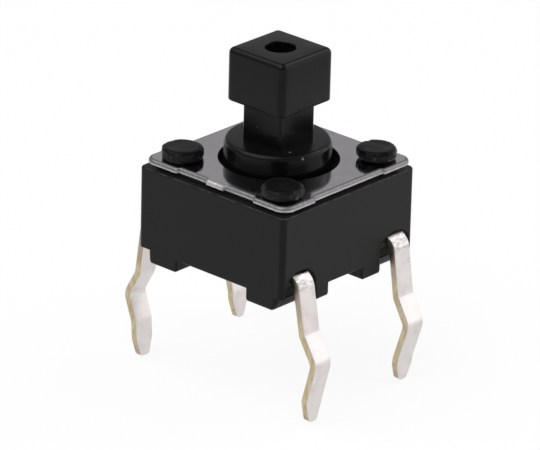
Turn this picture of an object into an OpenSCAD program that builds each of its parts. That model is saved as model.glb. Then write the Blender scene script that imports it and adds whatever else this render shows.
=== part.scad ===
// Tactile push button switch of the 6 mm class, through-hole, with a square actuator.
// +Z is up. Z = 0 is the face of the circuit board that the four feet stand on.
// Two legs leave each of the two sides that face along X.

/* [Housing] */
// Width and depth of the moulded housing
body_w = 6.27; // [6:0.01:8]
// Height of the housing's rim above the board
rim_h = 3.2; // [3:0.05:4.5]
// Height of the pad inside the rim that carries the cover plate
pad_h = 0.13; // [0.08:0.01:0.18]
// How far the pad's edge lies inside the cover plate's edge
pad_inset = 0.1; // [0.05:0.01:0.2]
// Height of the four feet
foot_h = 0.42; // [0.36:0.01:0.6]
// Radius of the housing's vertical edges
body_edge_r = 0.2; // [0.1:0.05:0.3]
// Radius of the housing's top edge
rim_edge_r = 0.06; // [0.03:0.01:0.08]
// Width of the channel between the feet that runs along Y
channel_x_w = 3; // [2:0.1:3.4]
// Width of the channel between the feet that runs along X
channel_y_w = 1.57; // [1:0.01:2]
// How far that channel lies off the middle, toward +Y
channel_y_shift = -0.1; // [-0.15:0.05:0.15]
// Thickness of the floor over the contact strips' seat, from the underside to the strips' top
floor_t = 0.73; // [0.5:0.01:0.9]

/* [Cover plate] */
// Gap from the housing's side to the edge of the plate
plate_inset = 0.055; // [0.04:0.005:0.15]
// Thickness of the sheet
plate_t = 0.17; // [0.13:0.01:0.3]
// Radius of the plate's corners
plate_edge_r = 0.45; // [0.3:0.05:0.6]
// Depth of the shallow step along the middle of each side
relief_d = 0.12; // [0.05:0.01:0.15]
// Length of that step
relief_l = 3.1; // [2:0.1:3.6]
// Width of the sheared stub of the carrier tab
tab_w = 0.77; // [0.4:0.01:1.2]
// Running gap between the collar and the plate's round hole
collar_gap = 0.21; // [0.1:0.01:0.3]

/* [Studs] */
// Distance of each stud from the housing's two nearest sides
stud_inset = 0.915; // [0.8:0.005:1.1]
// Diameter of a stud's shank
stud_d = 0.9; // [0.7:0.05:1]
// Radial gap between a stud's shank and its hole in the plate
stud_gap = 0.05; // [0.02:0.01:0.1]
// Diameter of the staked head
stud_head_d = 1.34; // [1.2:0.02:1.5]
// Height of the staked head
stud_head_h = 0.43; // [0.35:0.01:0.6]

/* [Plunger] */
// Height of the plunger's top above the board
total_h = 7.3; // [6:0.1:9.5]
// Width of the square head
head_w = 2.43; // [2:0.01:3]
// Height of the square head
head_h = 1.77; // [1:0.01:2]
// Radius of the head's vertical edges
head_edge_r = 0.2; // [0.16:0.01:0.3]
// Radius of the head's top edges
head_top_r = 0.15; // [0.05:0.01:0.15]
// Width of the square neck
neck_w = 1.63; // [1.3:0.01:1.8]
// Diameter of the blind core hole in the head
core_d = 1; // [0.6:0.02:1.2]
// Depth of the core hole
core_depth = 1.2; // [0.5:0.1:1.4]
// Diameter of the round collar
collar_d = 3.48; // [3:0.02:3.7]
// Height of the collar above the cover plate
collar_rise = 0.72; // [0.4:0.02:1]
// Radius of the collar's top edge
collar_edge_r = 0.17; // [0.05:0.01:0.2]
// How far the plunger travels
travel = 0.25; // [0.2:0.01:0.3]
// Room that is left under the flange beyond the travel
overtravel = 0.1; // [0.05:0.01:0.2]
// Gap between the flange and the cover plate at rest
rest_gap = 0.02; // [0.01:0.01:0.05]
// How far the flange reaches under the cover plate past the plate's hole
flange_lap = 0.13; // [0.1:0.01:0.2]
// Thickness of the flange
flange_t = 0.7; // [0.5:0.05:0.8]
// Radial gap between the flange and the housing's well
flange_gap = 0.12; // [0.05:0.01:0.2]
// Width of the two ears that keep the plunger from turning
ear_w = 0.9; // [0.6:0.05:1.2]
// How far an ear stands out from the flange
ear_l = 0.38; // [0.2:0.02:0.4]
// Gap on each side of an ear in its slot
ear_gap = 0.05; // [0.02:0.01:0.1]
// Diameter of the nub that presses the dome
nub_d = 1.3; // [0.8:0.1:1.6]

/* [Snap dome] */
// Diameter of the dome
dome_d = 3.8; // [3.4:0.1:4]
// Thickness of the dome's sheet
dome_t = 0.08; // [0.05:0.01:0.1]
// Radial gap between the dome and the lower well
dome_gap = 0.08; // [0.03:0.01:0.15]
// Gap that is left under the dome's crown beyond the plunger's travel
crown_gap = 0.02; // [0.01:0.01:0.05]

/* [Contact strips and legs] */
// Thickness of the strip metal
strip_t = 0.26; // [0.2:0.01:0.3]
// Height by which the centre contact and the two outer contacts are embossed
contact_h = 0.06; // [0.04:0.01:0.1]
// Diameter of the centre contact
contact_d = 1; // [0.6:0.1:1.2]
// Width of the tongue that carries the centre contact
tongue_w = 0.8; // [0.5:0.05:1]
// Width of the two arms that carry the outer contacts
arm_w = 0.65; // [0.5:0.05:0.8]
// Length of an outer contact
pad_l = 1.8; // [1:0.1:2]
// Width of a leg
leg_w = 0.72; // [0.6:0.02:0.8]
// Distance between the two legs of one side
leg_pitch = 4.5; // [4.3:0.05:4.8]
// Depth of a leg below the board
leg_len = 3.9; // [3.2:0.1:4.5]
// Width of a leg's tip
tip_w = 0.4; // [0.2:0.02:0.5]
// Height over which the leg tapers to its tip
tip_taper = 0.65; // [0.4:0.05:1]
// How far a leg's shoulder starts bending inside the housing's side
shoulder_inset = 0.255; // [0.2:0.005:0.4]
// Inside radius of the shoulder bend
shoulder_r = 0.32; // [0.2:0.02:0.4]
// Outward lean of the leg above its kink, in degrees
splay = 9.5; // [4:0.5:12]
// Outward lean of the kink's upper side, in degrees
kink_out = 31; // [20:1:40]
// Inward lean of the kink's lower side, in degrees
kink_in = 16; // [8:0.5:20]
// Depth below the board at which the kink starts
kink_start = 0.8; // [0.6:0.05:1.2]
// Length of the kink's upper side
kink_run = 0.75; // [0.4:0.01:1]
// Length of the kink's lower side
kink_back = 1.15; // [0.8:0.01:1.4]
// Radius of the kink's bends, at the middle of the metal
kink_r = 0.42; // [0.3:0.01:0.5]
// Width of a leg's pocket in the housing's side
pocket_w = 1.4; // [1.35:0.01:1.45]
// Depth of the pocket
pocket_d = 0.75; // [0.5:0.05:0.8]
// How far the foot below a leg stays inside the housing's side
foot_inset = 0.265; // [0.25:0.005:0.35]
// Height of that foot's ledge, which closes the pocket below
ledge_h = 0.3; // [0.2:0.01:0.35]
// Gap between the leg's top and the pocket's arched top
pocket_gap = 0.05; // [0.03:0.01:0.15]
// Radius of the pocket's top corners
pocket_r = 0.58; // [0.3:0.02:0.62]

/* [Hidden] */
$fn = 64;
eps = 0.01;

// Housing and cover
pad_z = rim_h + pad_h;
plate_w = body_w - 2 * plate_inset;
plate_top = pad_z + plate_t;
pad_w = plate_w - 2 * (relief_d + pad_inset);
stud_pos = body_w / 2 - stud_inset;
stud_hole_d = stud_d + 2 * stud_gap;
hole_d = collar_d + 2 * collar_gap;
floor_z = foot_h + floor_t;
foot_lean = 0.09;

// Plunger
flange_d = hole_d + 2 * flange_lap;
flange_top = pad_z - rest_gap;
flange_z = flange_top - flange_t;
collar_top = plate_top + collar_rise;
head_z = total_h - head_h;
neck_edge_r = 0.08;
well_d = flange_d + 2 * flange_gap;
well_z = flange_z - travel - overtravel;
ear_slot_d = flange_d + 2 * (ear_l + flange_gap);

// Snap dome: a cap of a sphere that stands on the outer contacts, with the centre contact below it
dome_z = floor_z + contact_h;
dome_rise = travel + crown_gap;
dome_r = (pow(dome_d / 2, 2) + pow(dome_rise, 2)) / (2 * dome_rise);
dome_top = dome_z + dome_rise + dome_t;
dome_well_d = dome_d + 2 * dome_gap;

// Contact strips
strip_z = floor_z - strip_t;
leg_y = leg_pitch / 2;
arm_x = dome_d / 2 - arm_w / 2 + 0.15;
arm_end = -pad_l / 2 - 0.2;
shoulder_x = body_w / 2 - shoulder_inset;
pocket_top = floor_z + pocket_gap;

// Steps of a leg, from the shoulder down past its tip: [length] runs straight, [radius, angle] bends.
shoulder_mid = shoulder_r + strip_t / 2;
shoulder_drop = shoulder_mid * (1 - sin(splay));
above_kink = (floor_z - strip_t / 2 - shoulder_drop + kink_start) / cos(splay);
tip_lean = 4;
bend_facet = 5;
LEG_STEPS = [
    [shoulder_mid, splay - 90],
    [above_kink],
    [kink_r, kink_out - splay],
    [kink_run],
    [kink_r, -kink_out - kink_in],
    [kink_back],
    [kink_r, kink_in - tip_lean],
    [leg_len]
];

// Square with rounded corners, centred on the origin
module rounded_square(w, r) {
    square([w, w - 2 * r], center = true);
    square([w - 2 * r, w], center = true);
    for (x = [-1, 1], y = [-1, 1])
        translate([x * (w / 2 - r), y * (w / 2 - r)])
            circle(r);
}

// Square block with rounded vertical edges of radius r and rounded top edges of radius f
module soft_block(w, h, r, f) {
    linear_extrude(h - f)
        rounded_square(w, r);
    linear_extrude(h)
        rounded_square(w - 2 * f, r - f);
    translate([0, 0, h - f])
        for (a = [0 : 90 : 270])
            rotate(a) {
                translate([-(w / 2 - r), w / 2 - f, 0])
                    rotate([0, 90, 0])
                        cylinder(r = f, h = w - 2 * r);
                translate([w / 2 - r, w / 2 - r, 0])
                    rotate_extrude()
                        edge_round(r, f);
            }
}

// Half-section of a disc of radius r, f high, whose top edge is rounded by f
module edge_round(r, f) {
    square([r - f, f]);
    intersection() {
        translate([r - f, 0])
            circle(f);
        square([r, f]);
    }
}

// The four places that lie at x and y, and mirrored in both
module at_corners(x, y) {
    for (sx = [0, 1], sy = [0, 1])
        mirror([sx, 0, 0])
            mirror([0, sy, 0])
                translate([x, y, 0])
                    children();
}

// Moulded housing: box with a stepped well, feet, leg pockets and staked studs
module housing() {
    color("#1c1c1e")
        difference() {
            union() {
                translate([0, 0, foot_h])
                    soft_block(body_w, rim_h - foot_h, body_edge_r, rim_edge_r);
                translate([0, 0, rim_h - eps])
                    linear_extrude(pad_h + eps)
                        rounded_square(pad_w, plate_edge_r);
                feet();
                at_corners(stud_pos, stud_pos)
                    stud();
            }
            well();
            leg_pockets();
            strip_seats();
            contact_seats();
        }
}

// One stud: a shank up through the cover plate and a mushroom head melted over it
module stud() {
    waist_r = stud_head_d / 2 - 0.07;
    bulge_r = stud_head_h / 2;
    translate([0, 0, rim_h])
        cylinder(d = stud_d, h = plate_top - rim_h + stud_head_h / 2);
    translate([0, 0, plate_top])
        rotate_extrude()
            intersection() {
                union() {
                    square([waist_r, bulge_r]);
                    translate([stud_head_d / 2 - bulge_r, bulge_r])
                        circle(bulge_r);
                    square([stud_head_d / 2 - bulge_r, stud_head_h]);
                }
                square([stud_head_d, stud_head_h]);
            }
}

// Four corner feet, parted by two channels and cut back outside to stay clear of the legs
module feet() {
    x1 = body_w / 2 - foot_inset;
    y1 = leg_y - pocket_w / 2;
    difference() {
        linear_extrude(foot_h + eps)
            rounded_square(body_w, body_edge_r);
        cube([channel_x_w, 2 * body_w, 3 * foot_h], center = true);
        translate([0, channel_y_shift, 0])
            cube([2 * body_w, channel_y_w, 3 * foot_h], center = true);
        at_corners(0, body_w)
            rotate([90, 0, 0])
                linear_extrude(body_w - y1)
                    polygon([
                        [x1 - foot_lean, -eps], [x1, ledge_h], [x1, foot_h],
                        [body_w, foot_h], [body_w, -eps]
                    ]);
    }
}

// Room for the plunger's flange and ears above, and for the dome below
module well() {
    translate([0, 0, well_z])
        cylinder(d = well_d, h = pad_z);
    translate([0, 0, floor_z])
        cylinder(d = dome_well_d, h = pad_z);
    translate([0, 0, well_z])
        intersection() {
            cylinder(d = ear_slot_d, h = pad_z);
            translate([0, 0, pad_z / 2])
                cube([body_w, ear_w + 2 * ear_gap, pad_z], center = true);
        }
}

// Arched pockets in the sides, over the feet's ledges, that the legs bend down through
module leg_pockets() {
    at_corners(body_w / 2 - pocket_d, leg_y)
        rotate([90, 0, 90])
            linear_extrude(body_w)
                pocket_outline();
}

module pocket_outline() {
    inner_w = pocket_w - 2 * pocket_r;
    translate([-pocket_w / 2, ledge_h])
        square([pocket_w, pocket_top - pocket_r - ledge_h]);
    translate([-inner_w / 2, ledge_h])
        square([inner_w, pocket_top - ledge_h]);
    for (side = [-1, 1])
        translate([side * inner_w / 2, pocket_top - pocket_r])
            circle(pocket_r);
}

// The strips' own outlines, sunk in the floor of the housing
module strip_seats() {
    translate([0, 0, strip_z])
        linear_extrude(strip_t) {
            centre_strip_outline();
            outer_strip_outline();
        }
}

// Room in the floor's rim for the ends of the embossed outer contacts
module contact_seats() {
    translate([-arm_x - arm_w / 2, -pad_l / 2, floor_z])
        cube([2 * arm_x + arm_w, pad_l, contact_h]);
}

// Stamped cover plate, held down by the studs
module cover_plate() {
    color("#c9c9cc")
        translate([0, 0, pad_z])
            linear_extrude(plate_t)
                difference() {
                    union() {
                        difference() {
                            rounded_square(plate_w, plate_edge_r);
                            for (a = [0 : 90 : 270])
                                rotate(a)
                                    translate([-relief_l / 2, plate_w / 2 - relief_d])
                                        square([relief_l, 1]);
                        }
                        square([tab_w, plate_w - relief_d / 2], center = true);
                    }
                    circle(d = hole_d);
                    at_corners(stud_pos, stud_pos)
                        circle(d = stud_hole_d);
                }
}

// Plunger: nub, flange with two ears, round collar, square neck and square head in one moulding
module plunger() {
    color("#202022")
        difference() {
            union() {
                rotate_extrude()
                    plunger_section();
                translate([0, 0, flange_z])
                    intersection() {
                        cylinder(d = flange_d + 2 * ear_l, h = flange_t);
                        translate([0, 0, flange_t / 2])
                            cube([body_w, ear_w, flange_t], center = true);
                    }
                translate([0, 0, collar_top - eps])
                    linear_extrude(head_z - collar_top + 2 * eps)
                        rounded_square(neck_w, neck_edge_r);
                translate([0, 0, head_z])
                    soft_block(head_w, head_h, head_edge_r, head_top_r);
            }
            translate([0, 0, total_h - core_depth])
                cylinder(d = core_d, h = core_depth + 1);
        }
}

// Half-section of the plunger's round part, from the nub to the top of the collar
module plunger_section() {
    boss_r = nub_d / 2 + 0.45;
    polygon([
        [0, dome_top], [nub_d / 2, dome_top], [nub_d / 2, flange_z - 0.35], [boss_r, flange_z],
        [flange_d / 2, flange_z], [flange_d / 2, flange_top], [collar_d / 2, flange_top],
        [collar_d / 2, collar_top - collar_edge_r], [0, collar_top - collar_edge_r]
    ]);
    translate([0, collar_top - collar_edge_r])
        edge_round(collar_d / 2, collar_edge_r);
}

// Domed disc that springs the plunger back and bridges the contacts when it snaps down
module snap_dome() {
    color("#b8b4aa")
        translate([0, 0, dome_z])
            rotate_extrude()
                intersection() {
                    translate([0, dome_rise - dome_r])
                        difference() {
                            circle(dome_r + dome_t, $fn = 256);
                            circle(dome_r, $fn = 256);
                        }
                    square([dome_d / 2, dome_rise + 2 * dome_t]);
                }
}

// One leg, drawn with the first of its steps at the shoulder
module leg() {
    intersection() {
        translate([0, leg_w / 2, floor_z - strip_t / 2])
            rotate([90, 0, 0])
                linear_extrude(leg_w)
                    ribbon(LEG_STEPS);
        rotate([90, 0, 90])
            linear_extrude(body_w)
                polygon([
                    [-leg_w / 2, floor_z + 1], [-leg_w / 2, tip_taper - leg_len],
                    [-tip_w / 2, -leg_len], [tip_w / 2, -leg_len],
                    [leg_w / 2, tip_taper - leg_len], [leg_w / 2, floor_z + 1]
                ]);
    }
}

// Strip metal seen edge on, laid along its steps one after the other
module ribbon(steps) {
    top = concat([[0, strip_t / 2]], side_line(steps, strip_t / 2));
    under = concat([[0, -strip_t / 2]], side_line(steps, -strip_t / 2));
    polygon(concat(top, [for (i = [len(under) - 1 : -1 : 0]) under[i]]));
}

// Points along one side of the metal, d off its middle, from step i on at point p with heading a
function side_line(steps, d, p = [0, 0], a = 0, i = 0) =
    i == len(steps) ? []
    : len(steps[i]) == 1 ? straight_line(steps, d, p + steps[i][0] * heading(a), a, i)
    : bend_line(steps, d, p + sign(steps[i][1]) * steps[i][0] * heading(a + 90), a, i);

function heading(a) = [cos(a), sin(a)];

// A straight step ends at point q
function straight_line(steps, d, q, a, i) =
    concat([q + d * heading(a + 90)], side_line(steps, d, q, a, i + 1));

// A bend turns about point c, in facets of at most bend_facet degrees
function bend_line(steps, d, c, a, i) =
    let (
        r = sign(steps[i][1]) * steps[i][0],
        turn = steps[i][1],
        facets = ceil(abs(turn) / bend_facet)
    )
    concat(
        [for (k = [1 : facets]) c + (d - r) * heading(a + turn * k / facets + 90)],
        side_line(steps, d, c - r * heading(a + turn + 90), a + turn, i + 1)
    );

// Both legs of one strip, at the ends of its bar
module leg_pair(y) {
    for (sx = [0, 1])
        mirror([sx, 0, 0])
            translate([shoulder_x, y, 0])
                leg();
}

// Bar of a strip, from shoulder to shoulder
module strip_bar(y) {
    translate([0, y])
        square([2 * shoulder_x, leg_w], center = true);
}

module centre_strip_outline() {
    strip_bar(-leg_y);
    translate([-tongue_w / 2, -leg_y])
        square([tongue_w, leg_y]);
    circle(d = contact_d + 0.2);
}

module outer_strip_outline() {
    strip_bar(leg_y);
    for (side = [-1, 1])
        translate([side * arm_x - arm_w / 2, arm_end])
            square([arm_w, leg_y - arm_end]);
}

// Stamped strip with two legs and the raised centre contact
module centre_contact_strip() {
    color("#cfc8b4") {
        translate([0, 0, strip_z])
            linear_extrude(strip_t)
                centre_strip_outline();
        translate([0, 0, floor_z - eps])
            cylinder(d = contact_d, h = contact_h + eps);
        leg_pair(-leg_y);
    }
}

// Stamped strip with two legs and the two arms that the dome's rim rests on
module outer_contact_strip() {
    color("#cfc8b4") {
        translate([0, 0, strip_z])
            linear_extrude(strip_t)
                outer_strip_outline();
        for (side = [-1, 1])
            translate([side * arm_x - arm_w / 2, -pad_l / 2, floor_z - eps])
                cube([arm_w, pad_l, contact_h + eps]);
        leg_pair(leg_y);
    }
}

housing();
cover_plate();
plunger();
snap_dome();
centre_contact_strip();
outer_contact_strip();
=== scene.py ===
"""Tactile push button switch: smooth meshes, materials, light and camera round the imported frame.

All sizes are in metres, in the CAD's frame: Z is up, the board's top is at Z = 0, and each of
the two contact strips runs along X, with a leg at either end.
"""

import math

import bmesh
import bpy
from mathutils import Matrix, Vector, noise

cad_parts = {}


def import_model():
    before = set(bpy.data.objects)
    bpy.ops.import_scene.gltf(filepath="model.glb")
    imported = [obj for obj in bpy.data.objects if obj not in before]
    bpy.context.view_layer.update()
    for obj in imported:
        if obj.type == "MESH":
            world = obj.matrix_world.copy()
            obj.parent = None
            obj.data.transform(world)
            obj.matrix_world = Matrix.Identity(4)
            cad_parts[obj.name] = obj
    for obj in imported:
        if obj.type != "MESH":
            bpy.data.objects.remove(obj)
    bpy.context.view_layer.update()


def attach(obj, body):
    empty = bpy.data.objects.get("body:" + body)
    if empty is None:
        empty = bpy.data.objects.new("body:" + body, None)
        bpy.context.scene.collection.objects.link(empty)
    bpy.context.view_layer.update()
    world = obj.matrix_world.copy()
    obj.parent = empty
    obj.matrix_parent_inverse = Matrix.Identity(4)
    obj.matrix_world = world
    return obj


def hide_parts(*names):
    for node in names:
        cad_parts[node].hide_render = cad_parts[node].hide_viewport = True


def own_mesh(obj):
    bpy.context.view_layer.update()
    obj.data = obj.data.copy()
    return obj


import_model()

MM = 0.001

# Housing
BODY_HALF = 3.135 * MM
BODY_CORNER = 0.2 * MM
RIM_Z = 3.2 * MM
RIM_EDGE = 0.07 * MM
PAD_Z = 3.33 * MM
PAD_HALF = 2.86 * MM
FLOOR_Z = 1.15 * MM

# Wells inside the housing, for the dome and for the plunger with its ears
WELL_R = 2.2 * MM
WELL_Z = 2.26 * MM
EAR_SLOT_R = 2.58 * MM
EAR_SLOT_HALF = 0.5 * MM
DOME_WELL_R = 1.98 * MM

# Feet, by the side they are on, the channels between them and the leg pockets over their ledges.
# The soles are a little lower than the CAD's, as in the photograph
FOOT_H = 0.42 * MM
SOLE_Z = -0.045 * MM
FOOT_X = {-1: 2.66 * MM, 1: 2.78 * MM}
FOOT_Y = {-1: 1.55 * MM, 1: 1.63 * MM}
FOOT_LEAN = {-1: 0.02 * MM, 1: 0.09 * MM}
LEDGE_H = 0.3 * MM
CHANNEL_ALONG_Y = (-1.43 * MM, 1.57 * MM)
CHANNEL_ALONG_X = (-0.885 * MM, 0.685 * MM)
POCKET_X = 2.385 * MM
POCKET_HALF = 0.66 * MM
POCKET_TOP = 1.17 * MM
POCKET_R = 0.58 * MM

# Cover plate, with its play round the studs, and the studs
PLATE_HALF = 3.08 * MM
PLATE_TOP = 3.5 * MM
PLATE_CORNER = 0.45 * MM
PLATE_PLAY = (0.02 * MM, 0.04 * MM)
PLATE_ROLL = 0.1 * MM
HOLE_R = 1.95 * MM
STUD_AT = 2.22 * MM
STUD_R = 0.45 * MM
STUD_HOLE_R = 0.5 * MM
STUD_HEAD_H = 0.43 * MM

# Plunger, from its head down to the nub on the dome
TOTAL_H = 7.3 * MM
HEAD_HALF = 1.215 * MM
HEAD_Z = 5.49 * MM
HEAD_CORNER = 0.22 * MM
HEAD_TOP_EDGE = 0.2 * MM
HEAD_LOWER_EDGE = 0.08 * MM
CORE_R = 0.5 * MM
CORE_Z = 6.1 * MM
CORE_CHAMFER = 0.03 * MM
NECK_HALF = 0.815 * MM
NECK_CORNER = 0.08 * MM
COLLAR_R = 1.74 * MM
COLLAR_TOP = 4.22 * MM
COLLAR_EDGE = 0.17 * MM
MOAT_R = 1.93 * MM
MOAT_Z = 3.05 * MM
FLANGE_R = 2.08 * MM
FLANGE_TOP = 3.31 * MM
FLANGE_Z = 2.61 * MM
EAR_HALF = 0.45 * MM
EAR_R = 2.46 * MM
BOSS_R = 1.1 * MM
BOSS_H = 0.35 * MM
NUB_R = 0.65 * MM
NUB_Z = 1.56 * MM

# Snap dome
DOME_R = 1.9 * MM
DOME_Z = 1.21 * MM
DOME_RISE = 0.27 * MM
DOME_T = 0.08 * MM
DOME_MIDDLE_R = 0.02 * MM

# Contact strips
STRIP_T = 0.26 * MM
STRIP_MID = FLOOR_Z - STRIP_T / 2
STRIP_EDGE = 0.022 * MM
LEG_Y = 2.25 * MM
LEG_HALF = 0.36 * MM
LEG_END = -3.9 * MM
TIP_CORNER = 0.1 * MM
TONGUE_HALF = 0.4 * MM
CONTACT_R = 0.5 * MM
CONTACT_H = 0.06 * MM
CONTACT_DISC_R = CONTACT_R + 0.1 * MM
ARM_X = 1.725 * MM
ARM_HALF = 0.325 * MM
ARM_END = -1.1 * MM
OUTER_CONTACT_HALF = 0.9 * MM

# Rounding that the moulding and the stamping leave
FOOT_EDGE = 0.08 * MM
NOTCH_EDGE = 0.13 * MM
POCKET_EDGE = 0.09 * MM
MOULD_FILLET = 0.03 * MM
SHEET_EDGE = 0.02 * MM
SHEAR_EDGE = 0.015 * MM

# For the cuts: an offset that keeps two faces out of one plane, points that close are merged, and a
# length that reaches past everything
BURR = 0.001 * MM
SLIVER = 0.0002 * MM
FAR = 4.5 * MM

# Where in the object a material changes, as ranges of height unless they say otherwise
# Painted highlights: the top rim's edge and the soles' lowest edges are painted greyer between
# these heights
RIM_HIGHLIGHTED = (3.165 * MM, 3.19 * MM)
SOLES_HIGHLIGHTED = (-0.03 * MM, -0.01 * MM)
# Painted reflected light deep in the leg pockets, within these ranges of |X|, |Y| and height
POCKETS_X = (2.3 * MM, 2.75 * MM)
POCKETS_Y = (1.5 * MM, 2.95 * MM)
POCKETS_Z = (0.3 * MM, 1.2 * MM)
# Painted light on the studs' sides, with flecks that are partly tears and partly painted highlights
STUD_SIDES_LIT_AND_TORN = (3.6 * MM, 3.78 * MM)
SHOULDERS_SCUFFED = (0.75 * MM, 1.3 * MM)
LEGS_SHADED = (-0.1 * MM, 1.2 * MM)
TIPS_PUNCHED = (-4.5 * MM, -3.6 * MM)

# Linear colours. More than one in a row lead from a pattern's low places to its high ones
# Painted highlight on the rim's and the soles' edges
RIM_HIGHLIGHT_GREY = (0.028, 0.0275, 0.0275)
# Painted reflected light in the leg pockets
POCKET_LIGHT_GREY = (0.15, 0.155, 0.135)
# Painted light on the studs' sides, and their flecks, partly torn plastic and partly painted
# highlights
STUD_SIDE_LIGHT_GREY = (0.011, 0.011, 0.011)
TORN_GLINT_GREY = (0.045, 0.045, 0.043)
DUST_GREY = (0.25, 0.25, 0.25)
STAINLESS = (0.46, 0.45, 0.475), (0.54, 0.52, 0.555)
# Painted shade: the rolled edge darker than the plate's own steel
ROLL_SHADE_STEEL = (0.18, 0.175, 0.18), (0.24, 0.235, 0.24)
# Painted shade: the punched holes' walls nearly black
HOLE_SHADE_STEEL = (0.03, 0.03, 0.03), (0.07, 0.065, 0.065)
SHEARED_STEEL = (0.38, 0.37, 0.38), (0.52, 0.5, 0.5)
SPRING_STEEL = (0.5, 0.48, 0.44), (0.62, 0.6, 0.56)
TIN = (0.62, 0.56, 0.555), (0.71, 0.665, 0.66), (0.77, 0.725, 0.685)
SCUFFED_TIN = (0.42, 0.41, 0.4)
BRASS = (0.47, 0.375, 0.22), (0.56, 0.475, 0.3), (0.65, 0.59, 0.45)
SHADED_BRASS = (0.46, 0.38, 0.31)
PUNCHED_BRASS = (0.42, 0.34, 0.27)
CUT_BRASS = (0.36, 0.22, 0.16), (0.55, 0.4, 0.32)


# ---------------------------------------------------------------- node helpers


def new_material(name):
    """A node material with its tree and its Principled shader."""
    material = bpy.data.materials.new(name)
    material.use_nodes = True
    tree = material.node_tree
    return material, tree, tree.nodes["Principled BSDF"]


def put(tree, socket, value):
    """Links a socket into the input, or sets the input to a value."""
    if isinstance(value, bpy.types.NodeSocket):
        tree.links.new(value, socket)
    elif isinstance(value, tuple) and len(value) == 3 and socket.type == "RGBA":
        socket.default_value = (*value, 1)
    else:
        socket.default_value = value


def fill(tree, node, **inputs):
    """Fills in a node's inputs. Names are the inputs' names with _ for a space."""
    for name, value in inputs.items():
        put(tree, node.inputs[name.replace("_", " ")], value)
    return node


def add(tree, kind, **inputs):
    """A new node of that kind, with its inputs filled in."""
    return fill(tree, tree.nodes.new(kind), **inputs)


def maths(tree, operation, *values):
    """Result of a Math node."""
    node = tree.nodes.new("ShaderNodeMath")
    node.operation = operation
    for socket, value in zip(node.inputs, values):
        put(tree, socket, value)
    return node.outputs[0]


def ramp(tree, value, places, levels):
    """Ramp over value that takes a grey level or a colour at each of the places."""
    node = add(tree, "ShaderNodeValToRGB", Fac=value)
    elements = node.color_ramp.elements
    while len(elements) < len(places):
        elements.new(0.5)
    for element, place, level in zip(elements, places, levels):
        element.position = place
        element.color = (*level, 1) if isinstance(level, tuple) else (level, level, level, 1)
    return node.outputs["Color"]


def blend(tree, share, a, b):
    """Colour a, turning to b as share goes from 0 to 1."""
    node = tree.nodes.new("ShaderNodeMix")
    node.data_type = "RGBA"
    for socket, value in zip((node.inputs[0], node.inputs[6], node.inputs[7]), (share, a, b)):
        put(tree, socket, value)
    return node.outputs[2]


def bump(tree, pattern, depth):
    """Bump of a pattern, depth metres from its lowest to its highest."""
    node = add(tree, "ShaderNodeBump", Height=pattern, Strength=1.0, Distance=depth)
    return node.outputs["Normal"]


def place_on(tree, size, stretch=(1, 1, 1)):
    """A point's place on the object, in units of size, made longer along an axis by stretch."""
    place = add(tree, "ShaderNodeTexCoord").outputs["Object"]
    scale = [1 / (size * s) for s in stretch]
    return add(tree, "ShaderNodeMapping", Vector=place, Scale=scale).outputs["Vector"]


def noise_at(tree, size, detail=3.0, stretch=(1, 1, 1)):
    """Noise whose features are about size metres across, made longer along an axis by stretch."""
    node = add(
        tree, "ShaderNodeTexNoise",
        Vector=place_on(tree, size, stretch), Scale=1.0, Detail=detail, Roughness=0.55,
    )
    return node.outputs["Fac"]


def specks_at(tree, spacing, share):
    """Small round specks, 1 at the middle of each, about spacing metres apart."""
    cells = add(tree, "ShaderNodeTexVoronoi", Vector=place_on(tree, spacing), Scale=1.0)
    return ramp(tree, cells.outputs["Distance"], (0.0, share), (1.0, 0.0))


def millimetres(tree, axis):
    """A point's place on the object along an axis, in millimetres."""
    return add(tree, "ShaderNodeSeparateXYZ", Vector=place_on(tree, MM)).outputs[axis]


def within(tree, value, span, soft):
    """1 where a value in millimetres lies in the span, fading to 0 over soft, both in metres."""
    low, high, fade = span[0] / MM, span[1] / MM, soft / MM
    rise = add(tree, "ShaderNodeMapRange", Value=value, From_Min=low - fade, From_Max=low)
    fall = add(tree, "ShaderNodeMapRange", Value=value, From_Min=high + fade, From_Max=high)
    return maths(tree, "MULTIPLY", rise.outputs[0], fall.outputs[0])


def at_height(tree, span, soft):
    """1 on the parts of the object whose height lies in the span, fading to 0 over soft."""
    return within(tree, millimetres(tree, "Z"), span, soft)


# ---------------------------------------------------------------- materials


def painted_rim_highlights(tree, tone):
    """Painted highlight: a thin line, broken by noise, greyer on the housing's top rim and on its
    feet's lowest edges.
    """
    highlight_breaks = ramp(tree, noise_at(tree, size=0.35 * MM, detail=4.0), (0.42, 0.56), (0.0, 1.0))
    rim = at_height(tree, RIM_HIGHLIGHTED, soft=0.008 * MM)
    feet = at_height(tree, SOLES_HIGHLIGHTED, soft=0.008 * MM)
    share = maths(tree, "MULTIPLY", maths(tree, "MAXIMUM", rim, feet), highlight_breaks)
    return blend(tree, share, tone, RIM_HIGHLIGHT_GREY)


def painted_pocket_light(tree, tone):
    """Painted reflected light: paler, greenish grey deep in the leg pockets, which lie inside the
    faces along X, and not at their rims.
    """
    inward = maths(tree, "ABSOLUTE", millimetres(tree, "X"))
    across = maths(tree, "ABSOLUTE", millimetres(tree, "Y"))
    plan = maths(tree, "MULTIPLY", within(tree, inward, POCKETS_X, soft=0.15 * MM),
                 within(tree, across, POCKETS_Y, soft=0.05 * MM))
    share = maths(tree, "MULTIPLY", plan, at_height(tree, POCKETS_Z, soft=0.1 * MM))
    return blend(tree, share, tone, POCKET_LIGHT_GREY)


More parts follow.
